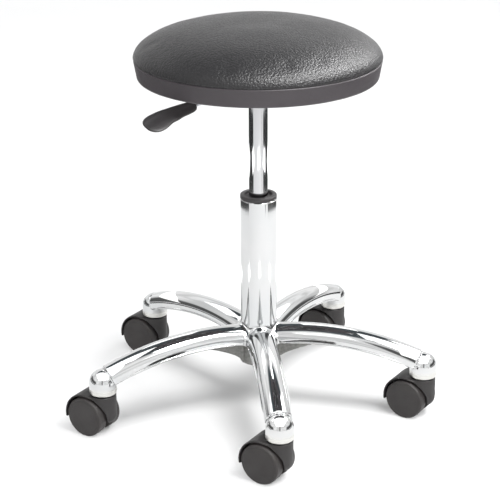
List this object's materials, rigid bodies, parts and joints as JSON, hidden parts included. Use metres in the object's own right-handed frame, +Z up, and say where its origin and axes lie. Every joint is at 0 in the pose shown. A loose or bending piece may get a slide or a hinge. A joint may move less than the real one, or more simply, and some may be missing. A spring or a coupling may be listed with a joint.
{
  "type": "rolling stylist stool",
  "caption": "Round backless stylist stool: domed black vinyl cushion on a gas lift with a lever, polished star base and hooded twin-wheel casters.",
  "frame": {"origin": "on the column's axis, at the floor under the casters", "axes": "+Z up along the column; +X to the right of a person who faces the side with the lever at front left"},
  "size_m": [0.554, 0.5431, 0.592],
  "materials": {
    "polished": "polished, mirror-like casting",
    "chrome": "bright chrome plating",
    "black_plastic": "black moulded plastic, fine texture",
    "rubber": "black rubber",
    "steel": "zinc-plated steel",
    "painted_steel": "black powder coat",
    "brass": "yellow zinc plating",
    "grey_plastic": "dark grey moulded plastic, fine matte texture",
    "wheel_plastic": "dark grey nylon, matte",
    "plywood": "birch plywood",
    "foam": "open-cell foam",
    "vinyl": "semi-gloss vinyl with a fine pebble grain"
  },
  "bodies": {
    "base": {"base_casting": "polished", "guide_bush": "black_plastic", "bottom_plate": "steel", "plate_ring": "steel", "thrust_washer_lower": "steel", "thrust_bearing": "steel", "grip_rings": "steel", "caster_1_stem": "steel", "caster_2_stem": "steel", "caster_3_stem": "steel", "caster_4_stem": "steel", "caster_5_stem": "steel"},
    "piston": {"piston_rod": "chrome", "rod_clip": "steel", "piston_head": "black_plastic", "thrust_washer_upper": "steel", "rubber_buffer": "rubber"},
    "seat": {"gas_cylinder": "chrome", "rod_guide": "black_plastic", "mount_plate": "painted_steel", "plate_bolts": "steel", "tee_nuts": "brass", "lever_pivot_pin": "steel", "seat_shell": "grey_plastic", "shell_screws": "steel", "seat_board": "plywood", "seat_foam": "foam", "seat_cover": "vinyl"},
    "lever": {"lever_rod": "steel", "lever_paddle": "black_plastic"},
    "valve": {"valve_pin": "black_plastic"},
    "caster_1": {"caster_1_hood": "grey_plastic", "caster_1_axle": "steel"},
    "caster_1_left": {"caster_1_wheel_left": "wheel_plastic"},
    "caster_1_right": {"caster_1_wheel_right": "wheel_plastic"},
    "caster_2": {"caster_2_hood": "grey_plastic", "caster_2_axle": "steel"},
    "caster_2_left": {"caster_2_wheel_left": "wheel_plastic"},
    "caster_2_right": {"caster_2_wheel_right": "wheel_plastic"},
    "caster_3": {"caster_3_hood": "grey_plastic", "caster_3_axle": "steel"},
    "caster_3_left": {"caster_3_wheel_left": "wheel_plastic"},
    "caster_3_right": {"caster_3_wheel_right": "wheel_plastic"},
    "caster_4": {"caster_4_hood": "grey_plastic", "caster_4_axle": "steel"},
    "caster_4_left": {"caster_4_wheel_left": "wheel_plastic"},
    "caster_4_right": {"caster_4_wheel_right": "wheel_plastic"},
    "caster_5": {"caster_5_hood": "grey_plastic", "caster_5_axle": "steel"},
    "caster_5_left": {"caster_5_wheel_left": "wheel_plastic"},
    "caster_5_right": {"caster_5_wheel_right": "wheel_plastic"}
  },
  "joints": [
    {"name": "seat_swivel", "type": "hinge", "parent": "base", "child": "piston", "pos_m": [0, 0, 0.086], "axis": [0, 0, 1], "continuous": true},
    {"name": "seat_height", "type": "slide", "parent": "piston", "child": "seat", "axis": [0, 0, 1], "range_m": [-0.125, 0]},
    {"name": "lever_lift", "type": "hinge", "parent": "seat", "child": "lever", "pos_m": [-0.02404, -0.02404, 0.5042], "axis": [-0.7071, 0.7071, 0], "range_deg": [0, 6], "stiffness_Nm_per_rad": 6, "springref_deg": -3.44},
    {"name": "valve_press", "type": "slide", "parent": "seat", "child": "valve", "axis": [0, 0, 1], "range_m": [-0.0038, 0]},
    {"name": "caster_1_swivel", "type": "hinge", "parent": "base", "child": "caster_1", "pos_m": [0.03059, -0.24913, 0.05], "axis": [0, 0, 1], "continuous": true},
    {"name": "caster_1_left_roll", "type": "hinge", "parent": "caster_1", "child": "caster_1_left", "pos_m": [0.01448, -0.23906, 0.03], "axis": [-0.5299, -0.848, 0], "continuous": true},
    {"name": "caster_1_right_roll", "type": "hinge", "parent": "caster_1", "child": "caster_1_right", "pos_m": [0.01448, -0.23906, 0.03], "axis": [-0.5299, -0.848, 0], "continuous": true},
    {"name": "caster_2_swivel", "type": "hinge", "parent": "base", "child": "caster_2", "pos_m": [0.24639, -0.04789, 0.05], "axis": [0, 0, 1], "continuous": true},
    {"name": "caster_2_left_roll", "type": "hinge", "parent": "caster_2", "child": "caster_2_left", "pos_m": [0.23028, -0.03782, 0.03], "axis": [-0.5299, -0.848, 0], "continuous": true},
    {"name": "caster_2_right_roll", "type": "hinge", "parent": "caster_2", "child": "caster_2_right", "pos_m": [0.23028, -0.03782, 0.03], "axis": [-0.5299, -0.848, 0], "continuous": true},
    {"name": "caster_3_swivel", "type": "hinge", "parent": "base", "child": "caster_3", "pos_m": [0.12169, 0.21953, 0.05], "axis": [0, 0, 1], "continuous": true},
    {"name": "caster_3_left_roll", "type": "hinge", "parent": "caster_3", "child": "caster_3_left", "pos_m": [0.10557, 0.2296, 0.03], "axis": [-0.5299, -0.848, 0], "continuous": true},
    {"name": "caster_3_right_roll", "type": "hinge", "parent": "caster_3", "child": "caster_3_right", "pos_m": [0.10557, 0.2296, 0.03], "axis": [-0.5299, -0.848, 0], "continuous": true},
    {"name": "caster_4_swivel", "type": "hinge", "parent": "base", "child": "caster_4", "pos_m": [-0.17118, 0.18357, 0.05], "axis": [0, 0, 1], "continuous": true},
    {"name": "caster_4_left_roll", "type": "hinge", "parent": "caster_4", "child": "caster_4_left", "pos_m": [-0.18729, 0.19364, 0.03], "axis": [-0.5299, -0.848, 0], "continuous": true},
    {"name": "caster_4_right_roll", "type": "hinge", "parent": "caster_4", "child": "caster_4_right", "pos_m": [-0.18729, 0.19364, 0.03], "axis": [-0.5299, -0.848, 0], "continuous": true},
    {"name": "caster_5_swivel", "type": "hinge", "parent": "base", "child": "caster_5", "pos_m": [-0.22748, -0.10608, 0.05], "axis": [0, 0, 1], "continuous": true},
    {"name": "caster_5_left_roll", "type": "hinge", "parent": "caster_5", "child": "caster_5_left", "pos_m": [-0.2436, -0.09601, 0.03], "axis": [-0.5299, -0.848, 0], "continuous": true},
    {"name": "caster_5_right_roll", "type": "hinge", "parent": "caster_5", "child": "caster_5_right", "pos_m": [-0.2436, -0.09601, 0.03], "axis": [-0.5299, -0.848, 0], "continuous": true}
  ],
  "couplings": [
    {"joint": "valve_press", "follows": "lever_lift", "m_per_rad": -0.034}
  ]
}
